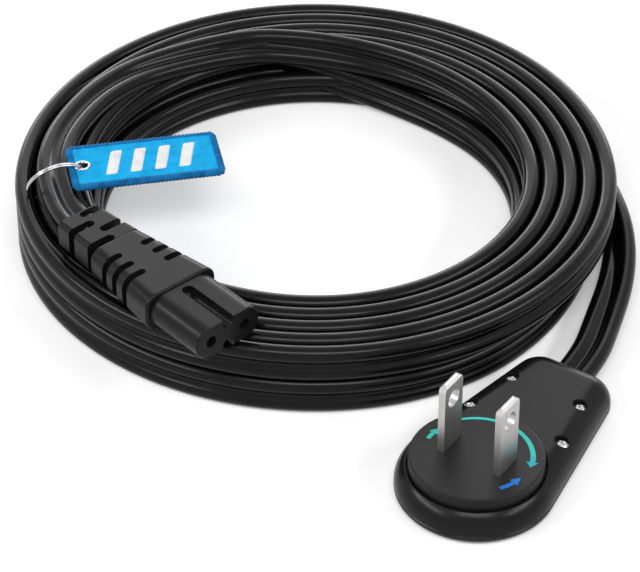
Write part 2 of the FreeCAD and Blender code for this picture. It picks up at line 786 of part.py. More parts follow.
def cord_clamp():
    """Block between the two shells that grips the cord inside the tail."""
    body = solid_body("cord_clamp")
    outline = new_sketch(body, "XZ_Plane", "-dims.clamp_start - dims.clamp_length")
    half = "dims.clamp_half_width"
    draw_rectangle(outline, "-" + half, half, "dims.back_wall", INSIDE_TOP)
    pad(body, outline, "dims.clamp_length")
    way = new_sketch(body, "XZ_Plane", "-dims.clamp_start - dims.clamp_length / 2")
    half_length = "(dims.cord_width / 2 + dims.fit_gap)"
    half_height = "(dims.cord_thickness / 2 + dims.fit_gap)"
    draw_stadium(way, half_length, half_height, "dims.cord_height")
    pocket(body, way, "2 * dims.clamp_length", midplane=True)
    return body


def rounded_route(label, points):
    """Straight runs joined by the largest tangent arcs that the runs leave room for."""
    edges = []
    radii = []
    start = points[0]
    for before, corner, after in zip(points, points[1:], points[2:]):
        run_in = corner - before
        run_out = after - corner
        turn = run_in.getAngle(run_out)
        setback = ARC_SHARE * min(run_in.Length, run_out.Length)
        radius = setback / math.tan(turn / 2)
        way_in = run_in.normalize()
        way_out = run_out.normalize()
        arc_start = corner - way_in * setback
        arc_end = corner + way_out * setback
        inwards = (way_out - way_in).normalize()
        middle = corner + inwards * (radius / math.cos(turn / 2) - radius)
        edges.append(Part.LineSegment(start, arc_start).toShape())
        edges.append(Part.Arc(arc_start, middle, arc_end).toShape())
        radii.append(round(radius, 1))
        start = arc_end
    edges.append(Part.LineSegment(start, points[-1]).toShape())
    print(label, "bend radii", radii)
    return Part.Wire(edges)


def cord_section(middle, forward):
    """The flat cord's section, lying flat, square to a direction."""
    radius = dim("cord_thickness") / 2
    reach = dim("cord_width") / 2 - radius
    up = Vector(0, 0, 1)
    side = forward.cross(up).normalize()
    right = middle + side * reach
    left = middle - side * reach
    rise = up * radius
    edges = [
        Part.LineSegment(left - rise, right - rise).toShape(),
        Part.Arc(right - rise, right + side * radius, right + rise).toShape(),
        Part.LineSegment(right + rise, left + rise).toShape(),
        Part.Arc(left + rise, left - side * radius, left - rise).toShape(),
    ]
    return Part.Wire(edges)


def cord_piece(name, points):
    """A stretch of the flat cord along a route."""
    route = rounded_route(name, points)
    section = cord_section(points[0], points[1] - points[0])
    sweep = Part.BRepOffsetAPI.MakePipeShell(route)
    sweep.setBiNormalMode(Vector(0, 0, 1))
    sweep.add(section)
    sweep.build()
    sweep.makeSolid()
    shape = sweep.shape()
    expected = Part.Face(section).Area * route.Length
    print(name, "length", round(route.Length, 1), "volume ratio", round(shape.Volume / expected, 4))
    piece = doc.addObject("Part::Feature", name)
    piece.Shape = shape
    return piece


def cord_tail():
    """The cord from inside the plug to the outside of the coil."""
    level = dim("cord_height")
    points = [Vector(0, dim("cord_start"), level)]
    points += [Vector(x, y, level) for x, y in TAIL_ROUTE]
    return cord_piece("cord_tail", points)


def connector_axis():
    """Direction of the connector, towards its face."""
    angle = math.radians(dim("connector_angle"))
    return Vector(math.cos(angle), math.sin(angle), 0)


def cord_end():
    """The cord from the coil's top layer into the connector."""
    top = dim("coil_height")
    points = [Vector(x, y, top + rise) for x, y, rise in END_ROUTE]
    shoulder = Vector(dim("connector_x"), dim("connector_y"), value_of(CONNECTOR_Z))
    last = shoulder - connector_axis() * dim("grip_length")
    points.append(last - connector_axis() * END_BEND_SETBACK)
    points.append(last)
    return cord_piece("cord_end", points)


def cord_coil():
    """Outer form of the coiled cord."""
    body = solid_body("cord_coil")
    ring = new_sketch(body, "XY_Plane", "0")
    draw_circles(ring, [("0", "0", "dims.coil_outer_radius"), ("0", "0", "dims.coil_inner_radius")])
    pad(body, ring, "dims.coil_height")
    faces = level_faces(body, 0.0) + level_faces(body, dim("coil_height"))
    dress(body, "PartDesign::Fillet", faces, "Radius", "dims.coil_edge_round")
    place(body, "dims.coil_x", "dims.coil_y", "0")
    return body


def place_on_connector(piece):
    """Put a piece that is modelled about the connector's axis in its place on the coil."""
    place(piece, "dims.connector_x", "dims.connector_y", CONNECTOR_Z, "dims.connector_angle")
    return piece


PIN_PLACES = [("-dims.pin_pitch / 2", "0"), ("dims.pin_pitch / 2", "0")]


def keyway(name, sign):
    """The tool that cuts one groove of the nose: round at the bottom and at its inner end."""
    radius = "(dims.key_width / 2)"
    start = "(dims.nose_length - dims.key_length + %s)" % radius
    level = "(%s(dims.nose_height / 2 - dims.key_depth + %s))" % (sign, radius)
    face = "(%sdims.nose_height / 2)" % sign
    low, high = (face, level) if sign else (level, face)
    barrel = doc.addObject("Part::Cylinder", name + "_barrel")
    barrel.Placement = Placement(Vector(), Rotation(Vector(0, 1, 0), 90))
    barrel.setExpression("Radius", radius)
    barrel.setExpression("Height", "dims.nose_length - %s" % start)
    ball = doc.addObject("Part::Sphere", name + "_ball")
    ball.setExpression("Radius", radius)
    for piece in (barrel, ball):
        piece.setExpression("Placement.Base.x", start)
        piece.setExpression("Placement.Base.z", level)
    slab = block(name + "_slab", start, "dims.nose_length", "-" + radius, radius, low, high)
    shaft = rod(name + "_shaft", radius, low, high, start)
    return fuse(name, [barrel, ball, slab, shaft])


def connector_nose():
    """Figure-eight nose: a bar with round ends, a keyway above and below, two pin holes."""
    body = solid_body("nose_bar")
    section = new_sketch(body, "YZ_Plane", "0")
    draw_stadium(section, "(dims.nose_width / 2)", "(dims.nose_height / 2)", "0")
    pad(body, section, "dims.nose_length")
    face = edges_where(body, lambda edge: edge.BoundBox.XMin > dim("nose_length") - 1e-6)
    dress(body, "PartDesign::Chamfer", face, "Size", "dims.nose_bevel")
    holes = new_sketch(body, "YZ_Plane", "dims.nose_length")
    draw_circles(holes, [(y, z, "dims.sleeve_bore_radius") for y, z in PIN_PLACES])
    pocket(body, holes, "dims.sleeve_setback")
    seats = new_sketch(body, "YZ_Plane", "(dims.nose_length - dims.sleeve_setback)")
    draw_circles(seats, [(y, z, "(dims.sleeve_outer_radius + dims.fit_gap)") for y, z in PIN_PLACES])
    pocket(body, seats, "dims.sleeve_length + dims.fit_gap")
    keyways = fuse("keyways", [keyway("upper_keyway", ""), keyway("lower_keyway", "-")])
    return place_on_connector(cut("connector_nose", body, keyways))


def sleeve(side, spot):
    """Metal sleeve that takes one pin of the appliance."""
    body = solid_body("sleeve_" + side)
    y, z = spot
    section = new_sketch(body, "YZ_Plane", "(dims.nose_length - dims.sleeve_setback - dims.sleeve_length)")
    draw_circles(section, [(y, z, "dims.sleeve_outer_radius"), (y, z, "dims.sleeve_bore_radius")])
    pad(body, section, "dims.sleeve_length")
    return place_on_connector(body)


def tapered_bar(name, front, front_size, rear, rear_size, corner):
    """A bar along X between two rectangles, its long edges rounded, as a body."""
    body = solid_body(name)
    sections = []
    for offset, (half_width, half_height) in ((front, front_size), (rear, rear_size)):
        section = new_sketch(body, "YZ_Plane", offset)
        draw_rectangle(section, "-" + half_width, half_width, "-" + half_height, half_height)
        sections.append(section)
    loft = body.newObject("PartDesign::AdditiveLoft", name + "_loft")
    loft.Profile = sections[0]
    loft.Sections = sections[1:]
    doc.recompute()
    long_edges = edges_where(body, lambda edge: edge.BoundBox.XLength > 1e-6)
    dress(body, "PartDesign::Fillet", long_edges, "Radius", corner)
    return body


def grip_body(name, inset):
    """The grip's tapered form, moved inwards."""
    front_size = ("(dims.grip_width / 2 - %s)" % inset, "(dims.grip_height / 2 - %s)" % inset)
    rear_size = ("(dims.grip_rear_width / 2 - %s)" % inset, "(dims.grip_rear_height / 2 - %s)" % inset)
    corner = "dims.grip_corner - %s" % inset
    return tapered_bar(name, "0", front_size, "-dims.grip_length", rear_size, corner)


def finger_grooves():
    """The tool that cuts three grooves into each side of the grip, closed towards its middle."""
    core = grip_body("groove_core", "dims.groove_depth")
    half = "(dims.groove_width / 2)"
    high = "(dims.grip_height / 2)"
    slabs = []
    for number in range(3):
        middle = "(-dims.groove_front - %d * dims.groove_pitch)" % number
        left = "(%s - %s)" % (middle, half)
        right = "(%s + %s)" % (middle, half)
        for side, sign in (("a", "-"), ("b", "")):
            inboard = "(%sdims.groove_inboard)" % sign
            outboard = "(%sdims.grip_width / 2)" % sign
            near, far = (outboard, inboard) if sign else (inboard, outboard)
            label = "%s%d" % (side, number)
            slabs.append(block("groove_" + label, left, right, near, far, "-" + high, high))
            slabs.append(rod("groove_end_" + label, half, "(-%s)" % high, high, middle, inboard))
    return cut("finger_grooves", fuse("groove_slabs", slabs), core)


def relief_slots():
    """Slots of the strain relief, from one side and the other in turn."""
    half = "(dims.slot_width / 2)"
    high = "(dims.relief_height / 2)"
    slots = []
    for number in range(4):
        middle = "(-dims.grip_length - dims.slot_first - %d * dims.slot_pitch)" % number
        left = "(%s - %s)" % (middle, half)
        right = "(%s + %s)" % (middle, half)
        edge = "dims.relief_width / 2"
        short = "dims.slot_short_of_middle"
        front, back = ("(-%s)" % edge, "(-%s)" % short) if number % 2 == 0 else (short, edge)
        inner_end = back if number % 2 == 0 else front
        slots.append(block("slot_%d" % number, left, right, front, back, "(-%s)" % high, high))
        slots.append(rod("slot_end_%d" % number, half, "(-%s)" % high, high, middle, inner_end))
    return fuse("relief_slots", slots)


def strain_relief():
    """Tapered tail of the grip, round the cord, cut into a flexible zigzag."""
    root_size = ("(dims.relief_width / 2)", "(dims.relief_height / 2)")
    end_size = ("(dims.relief_end_width / 2)", "(dims.relief_end_height / 2)")
    end = "(-dims.grip_length - dims.relief_length)"
    body = tapered_bar("strain_relief", "-dims.grip_length", root_size, end, end_size, "dims.relief_corner")
    way = new_sketch(body, "YZ_Plane", "-dims.grip_length")
    half_cord = "(dims.cord_width / 2 + dims.fit_gap)"
    half_cord_height = "(dims.cord_thickness / 2 + dims.fit_gap)"
    draw_stadium(way, half_cord, half_cord_height, "0")
    pocket(body, way, "dims.relief_length")
    return cut("slotted_relief", body, relief_slots())


def connector_grip():
    """Moulded grip with finger grooves and the strain relief, in one piece."""
    bar = grip_body("grip_bar", "0")
    ends = []
    for number, face in enumerate(bar.Tip.Shape.Faces, start=1):
        if face.BoundBox.XLength < 1e-6:
            ends.append("Face%d" % number)
    dress(bar, "PartDesign::Fillet", ends, "Radius", "dims.grip_rim_round")
    grooved = cut("grooved_bar", bar, finger_grooves())
    return place_on_connector(fuse("connector_grip", [grooved, strain_relief()]))


TAG_Z = "(dims.coil_height + dims.tag_lift)"
EYELET_X = "(dims.eyelet_inset - dims.tag_length / 2)"


def place_on_tag(piece):
    """Put a piece that is modelled about the tag's middle in its place over the coil."""
    place(piece, "dims.tag_x", "dims.tag_y", TAG_Z, "dims.tag_angle")
    return piece


def tag():
    """Woven tag, a thin plate with a hole for its eyelet."""
    body = solid_body("tag")
    outline = new_sketch(body, "XY_Plane", "0")
    half_length = "(dims.tag_length / 2)"
    half_width = "(dims.tag_width / 2)"
    draw_rectangle(outline, "-" + half_length, half_length, "-" + half_width, half_width)
    pad(body, outline, "dims.tag_thickness")
    upright = edges_where(body, lambda edge: edge.BoundBox.ZLength > 1e-6)
    dress(body, "PartDesign::Fillet", upright, "Radius", "dims.tag_corner")
    hole = new_sketch(body, "XY_Plane", "dims.tag_thickness")
    draw_circles(hole, [(EYELET_X, "0", "(dims.eyelet_barrel_radius + dims.fit_gap)")])
    pocket(body, hole, "dims.tag_thickness")
    return place_on_tag(body)


def tag_eyelet():
    """Metal eyelet: a barrel through the tag with a flange on each face."""
    low = "(-dims.eyelet_flange)"
    high = "(dims.tag_thickness + dims.eyelet_flange)"
    flange = "dims.eyelet_flange_radius"
    barrel = rod("eyelet_barrel", "dims.eyelet_barrel_radius", low, high, EYELET_X)
    lower = rod("eyelet_lower", flange, low, "0", EYELET_X)
    upper = rod("eyelet_upper", flange, "dims.tag_thickness", high, EYELET_X)
    hole = rod("eyelet_hole", "dims.eyelet_hole_radius", low, high, EYELET_X)
    return place_on_tag(cut("tag_eyelet", fuse("eyelet_blank", [barrel, lower, upper]), hole))


def split_ring():
    """Two turns of wire round the cord, through the eyelet, leaning along the cord."""
    angle = math.radians(dim("tag_angle"))
    along_tag = Vector(math.cos(angle), math.sin(angle), 0)
    tag_middle = Vector(dim("tag_x"), dim("tag_y"), value_of(TAG_Z) + dim("tag_thickness") / 2)
    eyelet = tag_middle + along_tag * value_of(EYELET_X)
    ring_x, ring_y, rise = RING_POINT
    middle = Vector(ring_x, ring_y, dim("coil_height") + rise)
    to_eyelet = eyelet - middle
    radius = to_eyelet.Length
    first = Vector(to_eyelet).normalize()
    lean = math.radians(dim("split_ring_lean"))
    forward = Vector(first.y, -first.x, 0).normalize()
    second = forward * math.sin(lean) + Vector(0, 0, math.cos(lean))
    normal = first.cross(second).normalize()
    second = normal.cross(first)
    wire_radius = dim("split_ring_wire") / 2
    lower = middle + first * radius - normal * wire_radius
    upper = middle + first * radius + normal * wire_radius
    edges = [
        Part.Arc(lower - first * wire_radius, lower - normal * wire_radius, lower + first * wire_radius),
        Part.LineSegment(lower + first * wire_radius, upper + first * wire_radius),
        Part.Arc(upper + first * wire_radius, upper + normal * wire_radius, upper - first * wire_radius),
        Part.LineSegment(upper - first * wire_radius, lower - first * wire_radius),
    ]
    section = Part.Face(Part.Wire([edge.toShape() for edge in edges]))
    piece = doc.addObject("Part::Feature", "split_ring")
    piece.Shape = section.revolve(middle, normal, 360)
    return piece


def build_pieces():
    """Every piece of the plug, its cord, its connector and its tag."""
    pieces = [
        housing_top(),
        housing_back(),
        housing_screws(),
        rotor_disc(),
        rotor_retainer(),
        blade("left", "-"),
        blade("right", ""),
        wiper("wiper_outer", "left"),
        wiper("wiper_inner", "right"),
        ring_outer(),
        ring_inner(),
        contact_carrier(),
        lead("lead_left", "-"),
        lead("lead_right", ""),
        cord_clamp(),
        cord_tail(),
        cord_coil(),
        cord_end(),
        connector_nose(),
        connector_grip(),
        tag(),
        tag_eyelet(),
        split_ring(),
    ]
    for side, spot in zip(("left", "right"), PIN_PLACES):
        pieces.append(sleeve(side, spot))
    return pieces


def check_and_write(pieces):
    """Stop at any failed feature or bad solid, then write one file for each piece."""
    doc.recompute()
    for item in doc.Objects:
        if "Invalid" in item.State or "Error" in item.State:
            raise RuntimeError("%s did not build: %s" % (item.Label, item.State))
    for piece in pieces:
        if piece.Shape.isNull() or not piece.Shape.isValid() or not piece.Shape.Solids:
            raise RuntimeError("%s is not a good solid" % piece.Label)
    os.makedirs("parts", exist_ok=True)
    for piece in pieces:
        piece.Shape.exportStep("parts/%s.step" % piece.Label)
        print(piece.Label, len(piece.Shape.Solids), round(piece.Shape.Volume, 2))


fill_sheet()
check_and_write(build_pieces())
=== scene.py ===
import json
import math

import bpy
from mathutils import Matrix, Vector


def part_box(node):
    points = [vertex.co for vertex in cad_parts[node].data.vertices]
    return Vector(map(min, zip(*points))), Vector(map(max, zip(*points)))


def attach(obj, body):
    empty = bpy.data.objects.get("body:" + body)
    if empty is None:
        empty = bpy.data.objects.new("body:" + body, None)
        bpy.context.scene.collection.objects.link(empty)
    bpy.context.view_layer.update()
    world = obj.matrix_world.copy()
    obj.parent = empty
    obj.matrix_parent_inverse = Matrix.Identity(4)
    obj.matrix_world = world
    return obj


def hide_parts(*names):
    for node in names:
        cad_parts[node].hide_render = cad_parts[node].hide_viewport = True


# A flat mains plug with a turning blade carrier, its flat cord laid in a coil, the connector
# on the cord's far end and a woven tag on a split ring. Lengths are metres unless a name ends
# in _MM, angles are degrees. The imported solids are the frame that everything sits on.

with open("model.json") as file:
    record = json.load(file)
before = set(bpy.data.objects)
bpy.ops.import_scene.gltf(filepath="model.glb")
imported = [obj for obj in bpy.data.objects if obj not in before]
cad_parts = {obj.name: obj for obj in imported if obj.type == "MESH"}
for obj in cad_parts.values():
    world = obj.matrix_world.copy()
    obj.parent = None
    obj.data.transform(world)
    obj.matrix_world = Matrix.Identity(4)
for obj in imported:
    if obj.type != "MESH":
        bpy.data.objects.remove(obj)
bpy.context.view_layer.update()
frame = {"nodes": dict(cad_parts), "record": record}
NODES = frame["nodes"]

MM = 0.001

# Camera: the photograph's angle and frame
CAMERA_AZIMUTH = 34.0
CAMERA_ELEVATION = 37.6
CAMERA_DISTANCE = 0.6505
CAMERA_TARGET = Vector((-0.0620, 0.0375, 0.0))
CAMERA_LENS = 171.9
SENSOR_WIDTH = 36.0

# Studio light: a soft lamp behind the object, and long ones at its back, left, right and front
# for the lines of light along the edges. Each has its place, width, height and power.
LAMPS = {
    "back": ((-0.48, 0.66, 0.62), 0.80, 0.50, 2.0),
    "low_back": ((-0.59, 0.82, 0.22), 1.20, 0.22, 4.2),
    "left": ((-0.50, -0.51, 0.48), 0.75, 0.12, 3.9),
    "right": ((0.61, 0.18, 0.51), 0.60, 0.12, 2.8),
    "front": ((0.22, -0.38, 0.68), 0.50, 0.22, 3.1),
}
WORLD_LIGHT = 0.06
FLOOR_GLOW = 0.29
FLOOR_SIZE = 8.0
FLOOR_DROP = 0.0001
FLOOR_ROUGHNESS = 0.9
FLOOR_PATCHES = 3.0
FLOOR_SHADES = ((0.86, 0.86, 0.86), (0.88, 0.88, 0.88))
WHITE = (1, 1, 1, 1)

# Flat two-core cord
CORD_WIDTH = 0.008
CORD_THICKNESS = 0.0037
LOBE_STEPS = 14
LOBE_SWEEP = 152.0
ROUTE_STEPS = 6
ROUTE_ORDER = 3

# The cord's route where it isn't coiled, as listed points
TAIL_ROUTE_MM = [
    (0.0, 29.0, 3.4),
    (0.0, 43.2, 3.4),
    (-4.1, 56.8, 3.2),
    (-8.4, 70.3, 3.6),
    (-14.9, 83.2, 4.0),
    (-24.0, 94.6, 4.0),
]
END_ROUTE_MM = [
    (-127.6, 65.5, 15.9),
    (-129.2, 49.8, 17.3),
    (-126.0, 33.6, 18.1),
    (-120.8, 22.8, 18.2),
    (-115.4, 16.6, 18.2),
    (-106.6, 8.9, 18.7),
    (-96.9, 3.86, 20.35),
    (-88.19, 1.62, 20.35),
]

# The coil: two layers of on-edge turns, angles measured about its middle from +X
COIL_MIDDLE_MM = (-75.05, 55.3)
TURN_STEP = 15.0
OUTER_TURN_MM = 62.9
LOWER_PITCH_MM = 3.72
UPPER_PITCH_MM = 4.1
LOWER_HEIGHT_MM = 4.0
UPPER_HEIGHT_MM = 12.0
LOWER_START = 53.0
LOWER_END = 1883.0
LOWER_SHIFT = (324.0, 379.0)
UPPER_START = 2003.0
UPPER_END = 3623.0
UPPER_SHIFT = (2384.0, 2444.0)
BACK_ANGLE = 129.0
BACK_BULGE_MM = 1.2

# From the lower layer's inner turn to the upper layer's outer turn: angle, radius, height
LAYER_CHANGE_MM = [
    (1898.0, 45.2, 4.2),
    (1913.0, 46.8, 5.6),
    (1928.0, 50.0, 7.4),
    (1943.0, 54.0, 8.0),
    (1958.0, 58.0, 8.6),
    (1973.0, 61.2, 10.2),
    (1988.0, 62.8, 11.6),
]

# The innermost upper turn, which leans over and climbs on to the coil: angle, radius, height
LAST_TURN_MM = [
    (3638.0, 46.5, 12.0),
    (3653.0, 46.5, 12.0),
    (3668.0, 46.6, 12.0),
    (3683.0, 46.7, 12.2),
    (3698.0, 47.0, 12.6),
    (3713.0, 47.8, 13.1),
    (3728.0, 49.4, 13.7),
    (3743.0, 51.6, 14.6),
]

# Twist of the cord: 0 lies flat, 90 stands on edge. Distances along the cord from the plug,
# and for the last two from the connector.
TAIL_FLAT_TO = 0.024
TAIL_EDGE_FROM = 0.085
END_EDGE_TO = 0.180
END_FLAT_FROM = 0.045

# Woven tag: a field of cloth, an overlocked border and four plain stitched bars
TAG_ANGLE = 45.0
TAG_LENGTH = 0.0325
TAG_WIDTH = 0.0155
TAG_CELL = 0.00025
TAG_FIELD_INSET = 0.0006
TAG_FIELD_HALF = 0.0005
TAG_CROWN = 0.00012
CROWN_POWER = 4
TAG_HOLE = 0.0014
BORDER_INSET = 0.00085
BORDER_CORNER = 0.0007
BORDER_HALF_WIDTH = 0.00085
BORDER_HALF_HEIGHT = 0.00075
BORDER_SIDES = 12
STITCH_PITCH = 0.0008
STITCH_STEPS = 8
STITCH_RIDGE = 0.15
STITCH_SLANT = 0.7
BAR_COUNT = 4
BAR_PITCH = 0.0052
BAR_WIDTH = 0.0026
BAR_HEIGHT = 0.0086
BAR_SLANT = 0.0022
BAR_RISE = 0.00028
BAR_SHIFT = 0.0012
BAR_STEPS = 12
BAR_SIDE_POWER = 4
BAR_END_POWER = 8

# Rolled eyelet in the tag
EYELET_HOLE = 0.00118
EYELET_FLANGE = 0.00175
EYELET_WALL = 0.00015
EYELET_HALF = 0.00062
EYELET_LIP = 0.00022
EYELET_STEPS = 48
LIP_STEPS = 8

# Split ring: two turns of wire round the cord and through the eyelet
RING_MIDDLE_MM = (-115.4, 16.6, 18.2)
RING_LEAN = 24.0
RING_WIRE = 0.00046
RING_START = 205.0
RING_TURNS = 2
RING_STEPS = 72
RING_SIDES = 10
RING_CROSSING = (0.46, 0.54)

# Domed heads of the sunk screws, each with a cross recess turned its own way
SCREWS_MM = {
    "screw_dome_front_left": (-10.5, 14.8),
    "screw_dome_front_right": (10.5, 14.8),
    "screw_dome_rear_left": (-7.9, 26.3),
    "screw_dome_rear_right": (7.9, 26.3),
}
DOME_RADIUS = 0.00132
DOME_RISE = 0.00062
DOME_SINK = 0.00005
DOME_POWER = 3
DOME_RINGS = 20
DOME_STEPS = 72
DOME_TIP = 0.02
CROSS_REACH = 0.00075
CROSS_HALF_WIDTH = 0.0002
CROSS_DEPTH = 0.00035
CROSS_EDGE = 0.00008
CROSS_TURN = 37.0

# Turning arrows printed on the carrier: radius, start, end, line width at both, head length
PRINT_LIFT = 0.00002
PRINT_DEPTH = 0.00003
PRINT_STEP = 3.0
PRINT_POINT = 0.00002
HEAD_WIDENING = 2.3
ARROWS = {
    "arrow_short": (0.0105, 187.0, 166.0, 0.0009, 0.0009, 0.0018),
    "arrow_long": (0.0109, 142.0, 13.0, 0.0006, 0.00105, 0.0016),
    "arrow_back": (0.0107, -34.0, -6.0, 0.00095, 0.00095, 0.0021),
}

# Patterns in the materials: the part of a noise that its two shades span, and scales per metre.
# A wave texture of scale 1 repeats at WAVE_PERIOD.
NOISE_SPAN = (0.3, 0.7)
NOISE_DETAIL = 3.0
GRAIN_DETAIL = 2.0
BROAD_SCALE = 160.0
UPRIGHT_STREAKS = (3500.0, 3500.0, 180.0)
EVEN_SPECKLE = (1500.0, 1500.0, 1500.0)
WAVE_PERIOD = 0.314
WAVE_WANDER = 0.6
WAVE_DETAIL = 1.0
WEAVE_SHARE = 0.35
CLOTH_SCALE = 420.0
CLOTH_ROUGHNESS = 0.78
CLOTH_SPECULAR = 0.06
CLOTH_SHEEN = 0.06
SHEEN_ROUGHNESS = 0.4
INK_SLANT = (-0.45, 1.0, 0.0)
INK_RUN = (-0.012, 0.008)
INK_ROUGHNESS = 0.5
INK_SPECULAR = 0.2
INK_GRAIN = 6000.0
INK_DEPTH = 0.000004


def smooth(share):
    """A share from 0 to 1, eased at both ends."""
    share = min(1.0, max(0.0, share))
    return share * share * (3 - 2 * share)


def point_mm(x, y, z):
    """A point in metres from millimetres."""
    return Vector((x, y, z)) * MM


def add_mesh(name, verts, faces):
    """A smooth-shaded mesh object in the scene."""
    mesh = bpy.data.meshes.new(name)
    mesh.from_pydata([tuple(vert) for vert in verts], [], faces)
    mesh.shade_smooth()
    mesh.update()
    piece = bpy.data.objects.new(name, mesh)
    bpy.context.scene.collection.objects.link(piece)
    return piece


def skin(name, rings, closed=False):
    """A tube over rings of points, capped at its ends unless it closes on itself."""
    count = len(rings[0])
    verts = [point for ring in rings for point in ring]
    faces = []
    last = len(rings) if closed else len(rings) - 1
    for number in range(last):
        first = number * count
        second = ((number + 1) % len(rings)) * count
        for spot in range(count):
            following = (spot + 1) % count
            faces.append((first + spot, first + following, second + following, second + spot))
    if not closed:
        faces.append(tuple(reversed(range(count))))
        faces.append(tuple(range((len(rings) - 1) * count, len(rings) * count)))
    return add_mesh(name, verts, faces)


def coil_point(angle, radius, height):
    """A point of the coil, the radius let out by what the spline cuts off its corners."""
    turn = math.radians(angle)
    reach = radius / math.cos(math.radians(TURN_STEP / 2))
    return point_mm(
        COIL_MIDDLE_MM[0] + reach * math.cos(turn),
        COIL_MIDDLE_MM[1] + reach * math.sin(turn),
        height,
    )


def turns_in(angle, shift):
    """How many turns further in the cord lies: it moves over in one stretch of each round."""
    start, end = shift
    rounds = math.floor((angle - start) / 360)
    along = (angle - start) - 360 * rounds
    return max(0.0, rounds + smooth(along / (end - start)))


def coil_points():
    """Lower layer from outside to inside, the change of layer, upper layer the same way."""
    points = []
    angle = LOWER_START
    while angle <= LOWER_END:
        radius = OUTER_TURN_MM - LOWER_PITCH_MM * turns_in(angle, LOWER_SHIFT)
        points.append(coil_point(angle, radius, LOWER_HEIGHT_MM))
        angle += TURN_STEP
    points += [coil_point(*spot) for spot in LAYER_CHANGE_MM]
    angle = UPPER_START
    while angle <= UPPER_END:
        at_back = max(0.0, math.cos(math.radians(angle - BACK_ANGLE))) ** 2
        radius = OUTER_TURN_MM - UPPER_PITCH_MM * turns_in(angle, UPPER_SHIFT)
        points.append(coil_point(angle, radius + BACK_BULGE_MM * at_back, UPPER_HEIGHT_MM))
        angle += TURN_STEP
    points += [coil_point(*spot) for spot in LAST_TURN_MM]
    return points


def spline_points(name, points):
    """The points along a smooth NURBS spline through the route."""
    curve = bpy.data.curves.new(name, "CURVE")
    curve.dimensions = "3D"
    curve.resolution_u = ROUTE_STEPS
    spline = curve.splines.new("NURBS")
    spline.points.add(len(points) - 1)
    for control, place in zip(spline.points, points):
        control.co = (*place, 1.0)
    spline.order_u = ROUTE_ORDER
    spline.use_endpoint_u = True
    holder = bpy.data.objects.new(name, curve)
    mesh = bpy.data.meshes.new_from_object(holder)
    line = [vertex.co.copy() for vertex in mesh.vertices]
    bpy.data.objects.remove(holder)
    bpy.data.meshes.remove(mesh)
    bpy.data.curves.remove(curve)
    return line


def cord_section():
    """The figure-eight section: two round lobes joined by a web, as (across, up) pairs."""
    radius = CORD_THICKNESS / 2
    offset = CORD_WIDTH / 2 - radius
    section = []
    for side in (1, -1):
        for step in range(LOBE_STEPS + 1):
            turn = math.radians(-LOBE_SWEEP + 2 * LOBE_SWEEP * step / LOBE_STEPS)
            section.append((side * (offset + radius * math.cos(turn)), side * radius * math.sin(turn)))
    return section


def twist_at(distance, total):
    """How far the cord is turned up on its edge at a distance from the plug."""
    tail = smooth((distance - TAIL_FLAT_TO) / (TAIL_EDGE_FROM - TAIL_FLAT_TO))
    to_go = total - distance
    end = smooth((to_go - END_FLAT_FROM) / (END_EDGE_TO - END_FLAT_FROM))
    return math.radians(90) * tail * end


def cord_rings(line, section):
    """The cord's section at each point of its line, turned about the line by its twist."""
    distances = [0.0]
    for here, there in zip(line, line[1:]):
        distances.append(distances[-1] + (there - here).length)
    total = distances[-1]
    rings = []
    for index, (place, distance) in enumerate(zip(line, distances)):
        ahead = line[min(index + 1, len(line) - 1)]
        behind = line[max(index - 1, 0)]
        forward = (ahead - behind).normalized()
        side = forward.cross(Vector((0, 0, 1))).normalized()
        top = side.cross(forward)
        turn = twist_at(distance, total)
        across = side * math.cos(turn) + top * math.sin(turn)
        through = top * math.cos(turn) - side * math.sin(turn)
        rings.append([place + across * a + through * b for a, b in section])
    return rings


def make_cord():
    """The cord from the plug, round its coil and over it to the connector."""
    route = [point_mm(*spot) for spot in TAIL_ROUTE_MM]
    route += coil_points()
    route += [point_mm(*spot) for spot in END_ROUTE_MM]
    line = spline_points("cord_route", route)
    cord = skin("cord", cord_rings(line, cord_section()))
    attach(cord, "housing")
    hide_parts("cord_tail", "cord_coil", "cord_end")
    return cord


def box_middle(node):
    """The middle of a node's box."""
    low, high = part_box(node)
    return (Vector(low) + Vector(high)) / 2


def tag_axes():
    """Directions along the tag, across it and upwards."""
    turn = math.radians(TAG_ANGLE)
    along = Vector((math.cos(turn), math.sin(turn), 0))
    across = Vector((-math.sin(turn), math.cos(turn), 0))
    return along, across, Vector((0, 0, 1))


TAG_ALONG, TAG_ACROSS, TAG_UP = tag_axes()
TAG_MIDDLE = box_middle("tag")
EYELET_MIDDLE = box_middle("tag_eyelet")


def tag_point(u, v, w):
    """A point of the tag from its distances along, across and above its middle."""
    return TAG_MIDDLE + TAG_ALONG * u + TAG_ACROSS * v + TAG_UP * w


